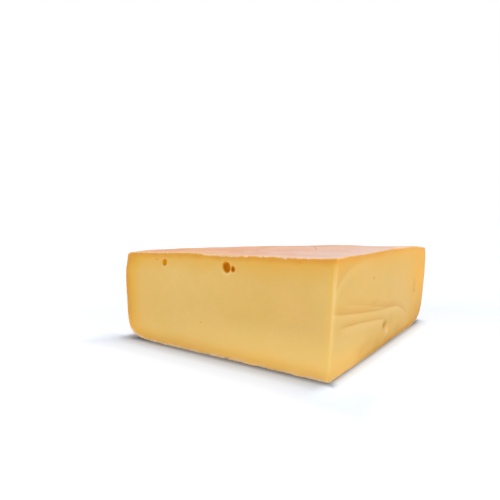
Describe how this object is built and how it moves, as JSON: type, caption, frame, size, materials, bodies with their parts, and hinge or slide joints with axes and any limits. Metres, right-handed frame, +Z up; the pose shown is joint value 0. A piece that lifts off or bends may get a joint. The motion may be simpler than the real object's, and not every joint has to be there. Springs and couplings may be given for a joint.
{
  "type": "cheese wedge",
  "caption": "Wedge of washed-rind cheese lying on its flat rind: smooth knife-cut faces with small eyes meet at a sharp tip, and a mottled rind rounds off at the heel.",
  "frame": {"origin": "middle of the footprint, on the flat rind that the wedge stands on", "axes": "+Z up; the tip points towards -Y and the rounded heel towards +Y; the left cut faces -X and the right cut +X when seen from the tip"},
  "size_m": [0.2698, 0.1959, 0.0725],
  "materials": {
    "paste": "satin butter-yellow cheese paste, under a matt orange-pink rind that the scene's materials add"
  },
  "bodies": {
    "root": {"cheese_wedge": "paste"}
  },
  "joints": []
}
